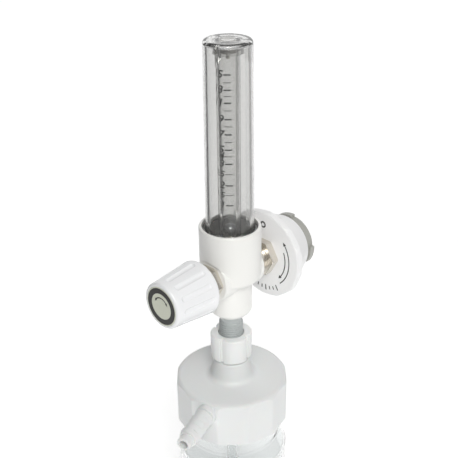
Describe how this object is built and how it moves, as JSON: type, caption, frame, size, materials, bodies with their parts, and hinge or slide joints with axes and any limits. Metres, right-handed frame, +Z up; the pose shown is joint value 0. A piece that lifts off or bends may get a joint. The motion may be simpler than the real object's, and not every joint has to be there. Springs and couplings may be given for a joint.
{
  "type": "oxygen flowmeter",
  "caption": "Plug-in oxygen flowmeter: white valve body with a clear ball tube, fluted flow knob, round bayonet probe grip, union nut and a humidifier with faceted lid and clear jar.",
  "frame": {"origin": "middle of the flat foot of the humidifier jar", "axes": "+Z up along the ball tube, +Y along the wall probe, -Y along the flow knob"},
  "size_m": [0.0576, 0.1067, 0.2931],
  "materials": {
    "clear_jar_plastic": "clear moulded polycarbonate, polished",
    "clear_cover_plastic": "clear moulded polycarbonate, polished, drafted",
    "clear_tube_plastic": "clear moulded polycarbonate, polished, printed scale",
    "black_rubber": "moulded nitrile rubber, matt",
    "pale_silicone": "moulded silicone rubber, natural pale grey, matt",
    "white_lid_plastic": "white moulded polypropylene, semi-gloss",
    "white_nut_plastic": "white moulded nylon, semi-gloss",
    "white_washer_plastic": "white acetal washer, turned",
    "porous_plastic": "sintered polyethylene, porous",
    "grey_outlet_metal": "satin grey metal, turned thread",
    "white_painted_brass": "brass casting, white powder coat, semi-gloss",
    "polished_steel": "stainless steel, polished",
    "nickel_plated_brass": "turned brass, bright nickel plating",
    "bare_brass": "turned brass",
    "white_knob_plastic": "white moulded ABS, gloss",
    "knob_label": "printed label, satin",
    "white_grip_plastic": "white moulded ABS, satin, printed marks",
    "spring_steel": "spring steel, satin",
    "grey_ring_plastic": "grey moulded nylon, satin",
    "sintered_bronze": "sintered bronze disc"
  },
  "bodies": {
    "flowmeter": {"valve_body": "white_painted_brass", "cover_seal": "pale_silicone", "cover_tube": "clear_cover_plastic", "metering_tube": "clear_tube_plastic", "tube_foot_seal": "pale_silicone", "tube_head_washer": "white_washer_plastic", "ball_rest": "nickel_plated_brass", "ball_catch": "nickel_plated_brass", "valve_seat": "bare_brass", "gland_nut": "nickel_plated_brass", "spindle_oring": "black_rubber", "inlet_stem": "nickel_plated_brass", "lock_nut": "nickel_plated_brass", "grip_clip": "spring_steel", "probe_nozzle": "nickel_plated_brass", "nozzle_oring": "black_rubber", "inlet_filter": "sintered_bronze", "outlet_spigot": "grey_outlet_metal", "union_washer": "black_rubber", "humidifier_lid": "white_lid_plastic", "dip_tube": "clear_jar_plastic", "bubble_diffuser": "porous_plastic"},
    "ball": {"float_ball": "polished_steel"},
    "knob": {"flow_knob": "white_knob_plastic", "knob_cap": "knob_label", "knob_screw": "polished_steel", "valve_spindle": "bare_brass"},
    "needle": {"valve_needle": "polished_steel"},
    "grip": {"grip_disc": "white_grip_plastic", "bayonet_ring": "grey_ring_plastic"},
    "union": {"union_nut": "white_nut_plastic"},
    "gasket": {"jar_gasket": "black_rubber"},
    "jar": {"humidifier_jar": "clear_jar_plastic"}
  },
  "joints": [
    {"name": "ball_lift", "type": "slide", "parent": "flowmeter", "child": "ball", "axis": [0, 0, 1], "range_m": [0, 0.078]},
    {"name": "knob_turn", "type": "hinge", "parent": "flowmeter", "child": "knob", "pos_m": [0, -0.0199, 0.18], "axis": [0, -1, 0], "range_deg": [0, 540]},
    {"name": "needle_lift", "type": "slide", "parent": "flowmeter", "child": "needle", "axis": [0, -1, 0], "range_m": [0, 0.0012]},
    {"name": "grip_turn", "type": "hinge", "parent": "flowmeter", "child": "grip", "pos_m": [0, 0.02445, 0.18], "axis": [0, 1, 0], "range_deg": [0, 40]},
    {"name": "nut_turn", "type": "hinge", "parent": "flowmeter", "child": "union", "pos_m": [0, 0, 0.1317], "axis": [0, 0, 1], "range_deg": [0, 360]},
    {"name": "jar_drop", "type": "slide", "parent": "flowmeter", "child": "gasket", "axis": [0, 0, -1], "range_m": [0, 0.004]},
    {"name": "jar_turn", "type": "hinge", "parent": "gasket", "child": "jar", "pos_m": [0, 0, 0.1105], "axis": [0, 0, 1], "range_deg": [0, 360]}
  ],
  "couplings": [
    {"joint": "needle_lift", "follows": "knob_turn", "m_per_rad": 0.00012732},
    {"joint": "jar_drop", "follows": "jar_turn", "m_per_rad": 0.00063662}
  ]
}
